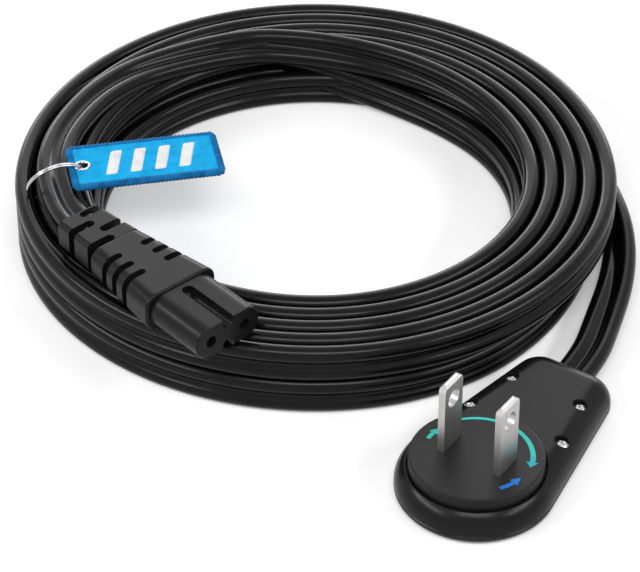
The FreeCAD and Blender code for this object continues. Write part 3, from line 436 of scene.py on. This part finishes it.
def make_tag_field():
    """The tag's cloth: two crowned faces a little apart, with a hole under the eyelet."""
    half_length = TAG_LENGTH / 2 - TAG_FIELD_INSET
    half_width = TAG_WIDTH / 2 - TAG_FIELD_INSET
    columns = round(2 * half_length / TAG_CELL)
    rows = round(2 * half_width / TAG_CELL)
    to_eyelet = EYELET_MIDDLE - TAG_MIDDLE
    eyelet_u = to_eyelet.dot(TAG_ALONG)
    eyelet_v = to_eyelet.dot(TAG_ACROSS)
    verts = []
    faces = []
    stride = rows + 1
    for face_side in (1, -1):
        for column in range(columns + 1):
            u = -half_length + 2 * half_length * column / columns
            for row in range(rows + 1):
                v = -half_width + 2 * half_width * row / rows
                crown = 1 - (u / half_length) ** CROWN_POWER
                crown *= 1 - (v / half_width) ** CROWN_POWER
                w = face_side * (TAG_FIELD_HALF + TAG_CROWN * crown)
                verts.append(tag_point(u, v, w))
    layer = (columns + 1) * stride
    for column in range(columns):
        for row in range(rows):
            u = -half_length + 2 * half_length * (column + 0.5) / columns
            v = -half_width + 2 * half_width * (row + 0.5) / rows
            if math.hypot(u - eyelet_u, v - eyelet_v) < TAG_HOLE:
                continue
            first = column * stride + row
            corners = (first, first + stride, first + stride + 1, first + 1)
            faces.append(corners)
            faces.append(tuple(layer + corner for corner in reversed(corners)))
    edge = [column * stride for column in range(columns)]
    edge += [columns * stride + row for row in range(rows)]
    edge += [column * stride + rows for column in range(columns, 0, -1)]
    edge += [row for row in range(rows, 0, -1)]
    for spot, here in enumerate(edge):
        there = edge[(spot + 1) % len(edge)]
        faces.append((here, layer + here, layer + there, there))
    field = add_mesh("tag_field", verts, faces)
    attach(field, "housing")
    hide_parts("tag")
    return field


def border_line():
    """Points and outward directions round the tag's border, a stitch step apart."""
    half_length = TAG_LENGTH / 2 - BORDER_INSET
    half_width = TAG_WIDTH / 2 - BORDER_INSET
    straight_u = half_length - BORDER_CORNER
    straight_v = half_width - BORDER_CORNER
    corner_run = BORDER_CORNER * math.pi / 2
    runs = [2 * straight_v, corner_run, 2 * straight_u, corner_run] * 2
    perimeter = sum(runs)
    stitches = round(perimeter / STITCH_PITCH)
    count = stitches * STITCH_STEPS
    starts = [
        (half_length, -straight_v, 0),
        (straight_u, straight_v, 0),
        (straight_u, half_width, 90),
        (-straight_u, straight_v, 90),
        (-half_length, straight_v, 180),
        (-straight_u, -straight_v, 180),
        (-straight_u, -half_width, 270),
        (straight_u, -straight_v, 270),
    ]
    line = []
    for number in range(count):
        distance = perimeter * number / count
        run = 0
        while distance >= runs[run]:
            distance -= runs[run]
            run += 1
        u, v, angle = starts[run]
        if run % 2 == 0:
            turn = math.radians(angle)
            u += -math.sin(turn) * distance
            v += math.cos(turn) * distance
        else:
            turn = math.radians(angle) + distance / BORDER_CORNER
            u += BORDER_CORNER * math.cos(turn)
            v += BORDER_CORNER * math.sin(turn)
        line.append((u, v, math.cos(turn), math.sin(turn)))
    return line


def make_tag_border():
    """The overlocked edge: a flattened tube whose slanting threads stand out as ridges."""
    rings = []
    for number, (u, v, out_u, out_v) in enumerate(border_line()):
        phase = 2 * math.pi * number / STITCH_STEPS
        ring = []
        for side in range(BORDER_SIDES):
            turn = 2 * math.pi * side / BORDER_SIDES
            swell = 1 + STITCH_RIDGE * math.cos(phase + 2 * math.pi * STITCH_SLANT * math.cos(turn))
            out = BORDER_HALF_WIDTH * math.cos(turn) * swell
            rise = BORDER_HALF_HEIGHT * math.sin(turn) * swell
            ring.append(tag_point(u + out_u * out, v + out_v * out, rise))
        rings.append(ring)
    border = skin("tag_border", rings, closed=True)
    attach(border, "housing")
    return border


def make_tag_bars():
    """Plain slanting bars of raised satin stitch, a generic mark on the tag's face."""
    verts = []
    faces = []
    base = TAG_FIELD_HALF + TAG_CROWN / 2
    for number in range(BAR_COUNT):
        middle_u = BAR_SHIFT + BAR_PITCH * (number - (BAR_COUNT - 1) / 2)
        first = len(verts)
        for column in range(BAR_STEPS + 1):
            across = 2 * column / BAR_STEPS - 1
            for row in range(BAR_STEPS + 1):
                along = 2 * row / BAR_STEPS - 1
                pillow = (1 - across ** BAR_SIDE_POWER) * (1 - along ** BAR_END_POWER)
                u = middle_u + across * BAR_WIDTH / 2 + along * BAR_SLANT / 2
                v = along * BAR_HEIGHT / 2
                verts.append(tag_point(u, v, base + BAR_RISE * pillow))
        stride = BAR_STEPS + 1
        for column in range(BAR_STEPS):
            for row in range(BAR_STEPS):
                corner = first + column * stride + row
                faces.append((corner, corner + stride, corner + stride + 1, corner + 1))
    bars = add_mesh("tag_bars", verts, faces)
    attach(bars, "housing")
    return bars


def make_eyelet():
    """A rolled eyelet: a thin barrel with a rounded lip on each face of the cloth."""
    half_lip = (EYELET_FLANGE - EYELET_HOLE) / 2
    profile = []
    for way in (1, -1):
        for step in range(LIP_STEPS + 1):
            turn = math.pi * step / LIP_STEPS
            out = EYELET_HOLE + half_lip + way * half_lip * math.cos(turn)
            profile.append((out, way * (EYELET_HALF + EYELET_LIP * math.sin(turn))))
    profile.append((EYELET_HOLE + EYELET_WALL, -EYELET_HALF))
    profile.append((EYELET_HOLE + EYELET_WALL, EYELET_HALF))
    rings = []
    for step in range(EYELET_STEPS):
        turn = 2 * math.pi * step / EYELET_STEPS
        out = Vector((math.cos(turn), math.sin(turn), 0))
        rings.append([EYELET_MIDDLE + out * radius + TAG_UP * height for radius, height in profile])
    eyelet = skin("tag_eyelet_rolled", rings, closed=True)
    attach(eyelet, "housing")
    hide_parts("tag_eyelet")
    return eyelet


def make_split_ring():
    """Turns of round wire that lie side by side, joined by one crossing."""
    middle = point_mm(*RING_MIDDLE_MM)
    to_eyelet = EYELET_MIDDLE - middle
    radius = to_eyelet.length
    first = to_eyelet.normalized()
    lean = math.radians(RING_LEAN)
    forward = Vector((first.y, -first.x, 0)).normalized()
    second = forward * math.sin(lean) + Vector((0, 0, math.cos(lean)))
    normal = first.cross(second).normalized()
    second = normal.cross(first)
    begin, end = RING_CROSSING
    rings = []
    for step in range(RING_TURNS * RING_STEPS + 1):
        share = step / (RING_TURNS * RING_STEPS)
        turn = math.radians(RING_START) + 2 * math.pi * step / RING_STEPS
        outward = first * math.cos(turn) + second * math.sin(turn)
        offset = RING_WIRE * (smooth((share - begin) / (end - begin)) - 0.5)
        place = middle + outward * radius + normal * offset
        ring = []
        for side in range(RING_SIDES):
            around = 2 * math.pi * side / RING_SIDES
            spoke = outward * math.cos(around) + normal * math.sin(around)
            ring.append(place + spoke * RING_WIRE / 2)
        rings.append(ring)
    wire = skin("split_ring_wire", rings)
    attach(wire, "housing")
    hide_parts("split_ring")
    return wire


def cross_depth(x, y):
    """How deep the cross recess goes at a place on a screw's head."""
    nearer = min(abs(x), abs(y))
    further = max(abs(x), abs(y))
    in_width = smooth((CROSS_HALF_WIDTH - nearer) / CROSS_EDGE + 0.5)
    in_reach = smooth((CROSS_REACH - further) / CROSS_EDGE + 0.5)
    return CROSS_DEPTH * in_width * in_reach


def make_screw_dome(name, place, turned):
    """The domed head of one screw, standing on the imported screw's flat one."""
    low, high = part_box("housing_screws")
    middle = point_mm(place[0], place[1], 0)
    base = high[2] - DOME_SINK
    rings = []
    for number in range(DOME_RINGS + 1):
        share = 1 - (1 - DOME_TIP) * number / DOME_RINGS
        rise = DOME_RISE * (1 - share ** DOME_POWER)
        ring = []
        for step in range(DOME_STEPS):
            turn = 2 * math.pi * step / DOME_STEPS
            x = DOME_RADIUS * share * math.cos(turn)
            y = DOME_RADIUS * share * math.sin(turn)
            height = base + rise - min(rise, cross_depth(x, y))
            ring.append(middle + Vector((x, y, 0)) @ turned + Vector((0, 0, height)))
        rings.append(ring)
    dome = skin(name, rings)
    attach(dome, "housing")
    return dome


def make_arrow(name, radius, start, end, thin, wide, head):
    """One printed arrow along a circle on the carrier, a thin film with a pointed head."""
    low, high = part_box("rotor_disc")
    bottom = Vector((0, 0, high[2] + PRINT_LIFT))
    top = bottom + Vector((0, 0, PRINT_DEPTH))
    way = 1 if end > start else -1
    neck = end - way * math.degrees(head / radius)
    count = max(2, round(abs(neck - start) / PRINT_STEP))
    sections = []
    for step in range(count + 1):
        share = step / count
        sections.append((start + (neck - start) * share, (thin + (wide - thin) * share) / 2))
    sections.append((neck, wide / 2 * HEAD_WIDENING))
    sections.append((end, PRINT_POINT))
    rings = []
    for angle, half in sections:
        turn = math.radians(angle)
        out = Vector((math.cos(turn), math.sin(turn), 0))
        inner = out * (radius - half)
        outer = out * (radius + half)
        rings.append([inner + bottom, outer + bottom, outer + top, inner + top])
    arrow = skin(name, rings)
    arrow.data.shade_flat()
    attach(arrow, "rotor")
    return arrow


def add_node(tree, kind, values):
    """A shader node with some of its sockets set."""
    node = tree.nodes.new(kind)
    for key, value in values.items():
        node.inputs[key].default_value = value
    return node


def start_material(name, roughness, metallic=0.0, specular=0.5):
    """A new material with its tree, its shader and the place on the surface as a socket."""
    material = bpy.data.materials.new(name)
    material.use_nodes = True
    tree = material.node_tree
    shader = tree.nodes["Principled BSDF"]
    shader.inputs["Roughness"].default_value = roughness
    shader.inputs["Metallic"].default_value = metallic
    shader.inputs["Specular IOR Level"].default_value = specular
    place = tree.nodes.new("ShaderNodeTexCoord").outputs["Object"]
    return material, tree, shader, place


def noise(tree, place, scale, detail=NOISE_DETAIL, stretch=None):
    """A noise pattern on the surface, stretched along its axes where asked."""
    if stretch:
        mapping = add_node(tree, "ShaderNodeMapping", {"Scale": stretch})
        tree.links.new(place, mapping.inputs["Vector"])
        place = mapping.outputs["Vector"]
    pattern = add_node(tree, "ShaderNodeTexNoise", {"Scale": scale, "Detail": detail})
    tree.links.new(place, pattern.inputs["Vector"])
    return pattern.outputs["Fac"]


def vary_roughness(tree, shader, pattern, low, high):
    """Gloss that wanders between two levels."""
    span = add_node(tree, "ShaderNodeMapRange", {"To Min": low, "To Max": high})
    span.inputs["From Min"].default_value = NOISE_SPAN[0]
    span.inputs["From Max"].default_value = NOISE_SPAN[1]
    tree.links.new(pattern, span.inputs["Value"])
    tree.links.new(span.outputs["Result"], shader.inputs["Roughness"])


def vary_colour(tree, shader, pattern, dark, light):
    """Colour that wanders between two shades."""
    ramp = tree.nodes.new("ShaderNodeValToRGB")
    for stop, position, shade in zip(ramp.color_ramp.elements, NOISE_SPAN, (dark, light)):
        stop.position = position
        stop.color = (*shade, 1.0)
    tree.links.new(pattern, ramp.inputs["Fac"])
    tree.links.new(ramp.outputs["Color"], shader.inputs["Base Color"])


def add_bump(tree, shader, height, depth):
    """Fine relief of a depth in metres."""
    bump = add_node(tree, "ShaderNodeBump", {"Strength": 1.0, "Distance": depth})
    tree.links.new(height, bump.inputs["Height"])
    tree.links.new(bump.outputs["Normal"], shader.inputs["Normal"])


def moulded(name, dark, light, gloss, grain, depth, specular):
    """Moulded plastic or rubber: a fine eroded grain and gloss that wanders a little."""
    material, tree, shader, place = start_material(name, gloss[0], specular=specular)
    broad = noise(tree, place, BROAD_SCALE)
    vary_colour(tree, shader, broad, dark, light)
    vary_roughness(tree, shader, broad, *gloss)
    add_bump(tree, shader, noise(tree, place, grain, GRAIN_DETAIL), depth)
    return material


def metal(name, dark, light, gloss, stretch, depth):
    """Drawn or plated metal: streaks along one axis in its colour, gloss and relief."""
    material, tree, shader, place = start_material(name, gloss[0], metallic=1.0)
    streaks = noise(tree, place, 1.0, stretch=stretch)
    vary_colour(tree, shader, streaks, dark, light)
    vary_roughness(tree, shader, streaks, *gloss)
    add_bump(tree, shader, streaks, depth)
    return material


def woven(name, dark, light, thread, depth):
    """Woven threads: two crossing waves in colour and relief, turned to the tag's own axes."""
    material, tree, shader, place = start_material(name, CLOTH_ROUGHNESS, specular=CLOTH_SPECULAR)
    shader.inputs["Sheen Weight"].default_value = CLOTH_SHEEN
    shader.inputs["Sheen Roughness"].default_value = SHEEN_ROUGHNESS
    mapping = add_node(tree, "ShaderNodeMapping", {"Rotation": (0.0, 0.0, math.radians(-TAG_ANGLE))})
    tree.links.new(place, mapping.inputs["Vector"])
    threads = {"Scale": WAVE_PERIOD / thread, "Distortion": WAVE_WANDER, "Detail": WAVE_DETAIL}
    waves = []
    for direction in ("X", "Y"):
        wave = add_node(tree, "ShaderNodeTexWave", threads)
        wave.bands_direction = direction
        tree.links.new(mapping.outputs["Vector"], wave.inputs["Vector"])
        waves.append(wave.outputs["Fac"])
    weave = tree.nodes.new("ShaderNodeMath")
    weave.operation = "MULTIPLY"
    tree.links.new(waves[0], weave.inputs[0])
    tree.links.new(waves[1], weave.inputs[1])
    shades = tree.nodes.new("ShaderNodeMath")
    shades.operation = "MULTIPLY_ADD"
    shades.inputs[1].default_value = WEAVE_SHARE
    tree.links.new(weave.outputs["Value"], shades.inputs[0])
    tree.links.new(noise(tree, place, CLOTH_SCALE), shades.inputs[2])
    vary_colour(tree, shader, shades.outputs["Value"], dark, light)
    add_bump(tree, shader, weave.outputs["Value"], depth)
    return material


def printed(name, front, back):
    """Printing ink whose colour runs slantwise over the carrier."""
    material, tree, shader, place = start_material(name, INK_ROUGHNESS, specular=INK_SPECULAR)
    slant = tree.nodes.new("ShaderNodeVectorMath")
    slant.operation = "DOT_PRODUCT"
    slant.inputs[1].default_value = INK_SLANT
    tree.links.new(place, slant.inputs[0])
    span = add_node(tree, "ShaderNodeMapRange", {"From Min": INK_RUN[0], "From Max": INK_RUN[1]})
    tree.links.new(slant.outputs["Value"], span.inputs["Value"])
    vary_colour(tree, shader, span.outputs["Result"], front, back)
    add_bump(tree, shader, noise(tree, place, INK_GRAIN), INK_DEPTH)
    return material


def paint(piece, material):
    """Give a piece one material."""
    piece.data.materials.clear()
    piece.data.materials.append(material)


def housing_plastic():
    """Satin black shells of the plug."""
    return moulded(
        "housing_plastic",
        dark=(0.005, 0.005, 0.0055),
        light=(0.007, 0.007, 0.0075),
        gloss=(0.22, 0.28),
        grain=3200.0,
        depth=0.000002,
        specular=0.14,
    )


def rotor_plastic():
    """Fine matt black of the blade carrier."""
    return moulded(
        "rotor_plastic",
        dark=(0.006, 0.006, 0.0065),
        light=(0.008, 0.008, 0.0085),
        gloss=(0.40, 0.48),
        grain=4200.0,
        depth=0.000008,
        specular=0.18,
    )


def carrier_plastic():
    """Natural pale plastic of the insulating pieces inside."""
    return moulded(
        "carrier_plastic",
        dark=(0.74, 0.72, 0.66),
        light=(0.80, 0.79, 0.74),
        gloss=(0.42, 0.52),
        grain=2600.0,
        depth=0.000008,
        specular=0.4,
    )


def lead_insulation():
    """Soft black round the cord's cores."""
    return moulded(
        "lead_insulation",
        dark=(0.03, 0.03, 0.03),
        light=(0.05, 0.05, 0.05),
        gloss=(0.42, 0.52),
        grain=2600.0,
        depth=0.000006,
        specular=0.3,
    )


def cord_jacket():
    """Smooth satin black rubber of the cord."""
    return moulded(
        "cord_jacket",
        dark=(0.0025, 0.0025, 0.003),
        light=(0.004, 0.004, 0.0045),
        gloss=(0.18, 0.25),
        grain=2200.0,
        depth=0.000001,
        specular=0.15,
    )


def connector_plastic():
    """Satin black overmould of the connector."""
    return moulded(
        "connector_plastic",
        dark=(0.006, 0.006, 0.0065),
        light=(0.009, 0.009, 0.0095),
        gloss=(0.28, 0.34),
        grain=3000.0,
        depth=0.000003,
        specular=0.13,
    )


def blade_nickel():
    """Nickel-plated blades with faint upright streaks."""
    return metal(
        "blade_nickel",
        dark=(0.43, 0.425, 0.415),
        light=(0.50, 0.495, 0.485),
        gloss=(0.34, 0.41),
        stretch=UPRIGHT_STREAKS,
        depth=0.0000006,
    )


def contact_brass():
    """Plain brass of the contacts."""
    return metal(
        "contact_brass",
        dark=(0.66, 0.47, 0.19),
        light=(0.80, 0.61, 0.28),
        gloss=(0.24, 0.36),
        stretch=UPRIGHT_STREAKS,
        depth=0.000004,
    )


def screw_steel():
    """Plated steel of the screws."""
    return metal(
        "screw_steel",
        dark=(0.40, 0.40, 0.40),
        light=(0.50, 0.50, 0.50),
        gloss=(0.34, 0.46),
        stretch=EVEN_SPECKLE,
        depth=0.000004,
    )


def ring_nickel():
    """Polished plating of the split ring and the eyelet."""
    return metal(
        "ring_nickel",
        dark=(0.42, 0.42, 0.43),
        light=(0.52, 0.52, 0.53),
        gloss=(0.14, 0.22),
        stretch=EVEN_SPECKLE,
        depth=0.000002,
    )


def tag_fabric():
    """Blue cloth of the tag."""
    return woven("tag_fabric", (0.002, 0.30, 0.66), (0.006, 0.44, 0.84), 0.00042, 0.00005)


def tag_border_thread():
    """Darker blue thread of the tag's border."""
    return woven("tag_border_thread", (0.003, 0.06, 0.21), (0.015, 0.20, 0.48), 0.0003, 0.00004)


def tag_bar_thread():
    """White thread of the tag's bars."""
    return woven("tag_bar_thread", (0.72, 0.73, 0.75), (0.86, 0.86, 0.86), 0.0003, 0.00003)


def carrier_ink():
    """Ink of the arrows, from blue at the front to green at the back."""
    return printed("carrier_ink", (0.014, 0.15, 0.52), (0.04, 0.54, 0.49))


def make_materials():
    """One material for each slot of the record, on every solid that shows."""
    looks = {
        "housing_plastic": housing_plastic(),
        "rotor_plastic": rotor_plastic(),
        "carrier_plastic": carrier_plastic(),
        "lead_insulation": lead_insulation(),
        "cord_jacket": cord_jacket(),
        "connector_plastic": connector_plastic(),
        "blade_nickel": blade_nickel(),
        "contact_brass": contact_brass(),
        "screw_steel": screw_steel(),
        "ring_nickel": ring_nickel(),
        "tag_fabric": tag_fabric(),
    }
    for row in frame["record"]["subparts"]:
        paint(NODES[row["node"]], looks[row["material_slot"]])
    return looks


def make_camera():
    """The camera at the photograph's viewing angle."""
    turn = math.radians(CAMERA_AZIMUTH)
    rise = math.radians(CAMERA_ELEVATION)
    level = math.cos(rise)
    back = Vector((math.sin(turn) * level, -math.cos(turn) * level, math.sin(rise)))
    data = bpy.data.cameras.new("camera")
    data.lens = CAMERA_LENS
    data.sensor_width = SENSOR_WIDTH
    camera = bpy.data.objects.new("camera", data)
    camera.location = CAMERA_TARGET + back * CAMERA_DISTANCE
    camera.rotation_euler = back.to_track_quat("Z", "Y").to_euler()
    bpy.context.scene.collection.objects.link(camera)
    bpy.context.scene.camera = camera


def area_light(name, place, width, height, power):
    """A soft rectangular lamp that looks at the object."""
    data = bpy.data.lights.new(name, "AREA")
    data.shape = "RECTANGLE"
    data.size = width
    data.size_y = height
    data.energy = power
    lamp = bpy.data.objects.new(name, data)
    lamp.location = place
    lamp.rotation_euler = (Vector(place) - CAMERA_TARGET).to_track_quat("Z", "Y").to_euler()
    bpy.context.scene.collection.objects.link(lamp)


def seen_or_mirrored(tree):
    """1 for what is seen straight, in gloss or through glass, and 0 for what only lights."""
    paths = tree.nodes.new("ShaderNodeLightPath")
    result = paths.outputs["Is Camera Ray"]
    for name in ("Is Glossy Ray", "Is Transmission Ray"):
        either = tree.nodes.new("ShaderNodeMath")
        either.operation = "MAXIMUM"
        tree.links.new(result, either.inputs[0])
        tree.links.new(paths.outputs[name], either.inputs[1])
        result = either.outputs["Value"]
    return result


def make_world():
    """Faint even light all round, plain white where it is seen."""
    world = bpy.data.worlds.new("studio")
    world.use_nodes = True
    tree = world.node_tree
    background = tree.nodes["Background"]
    background.inputs["Color"].default_value = WHITE
    level = add_node(tree, "ShaderNodeMapRange", {"To Min": WORLD_LIGHT, "To Max": 1.0})
    tree.links.new(seen_or_mirrored(tree), level.inputs["Value"])
    tree.links.new(level.outputs["Result"], background.inputs["Strength"])
    bpy.context.scene.world = world


def make_floor():
    """A pale floor that keeps the object's shadow and is white where it is fully lit."""
    bpy.ops.mesh.primitive_plane_add(size=FLOOR_SIZE, location=(0, 0, -FLOOR_DROP))
    floor = bpy.context.object
    floor.name = "floor"
    material, tree, shader, place = start_material("floor_white", FLOOR_ROUGHNESS, specular=0.0)
    vary_colour(tree, shader, noise(tree, place, FLOOR_PATCHES), *FLOOR_SHADES)
    shader.inputs["Emission Color"].default_value = WHITE
    level = add_node(tree, "ShaderNodeMapRange", {"To Min": 0.0, "To Max": FLOOR_GLOW})
    tree.links.new(seen_or_mirrored(tree), level.inputs["Value"])
    tree.links.new(level.outputs["Result"], shader.inputs["Emission Strength"])
    paint(floor, material)


make_camera()
make_world()
make_floor()
for name, sizes in LAMPS.items():
    area_light(name, *sizes)

looks = make_materials()
tag_field = make_tag_field()
tag_border = make_tag_border()
tag_bars = make_tag_bars()
eyelet = make_eyelet()
split_ring = make_split_ring()
cord = make_cord()
paint(tag_field, looks["tag_fabric"])
paint(tag_border, tag_border_thread())
paint(tag_bars, tag_bar_thread())
paint(eyelet, looks["ring_nickel"])
paint(split_ring, looks["ring_nickel"])
paint(cord, looks["cord_jacket"])
for number, (name, place) in enumerate(SCREWS_MM.items()):
    turned = Matrix.Rotation(math.radians(CROSS_TURN * number), 3, "Z")
    paint(make_screw_dome(name, place, turned), looks["screw_steel"])
ink = carrier_ink()
for name, sizes in ARROWS.items():
    paint(make_arrow(name, *sizes), ink)
bpy.context.scene.view_settings.view_transform = "Standard"
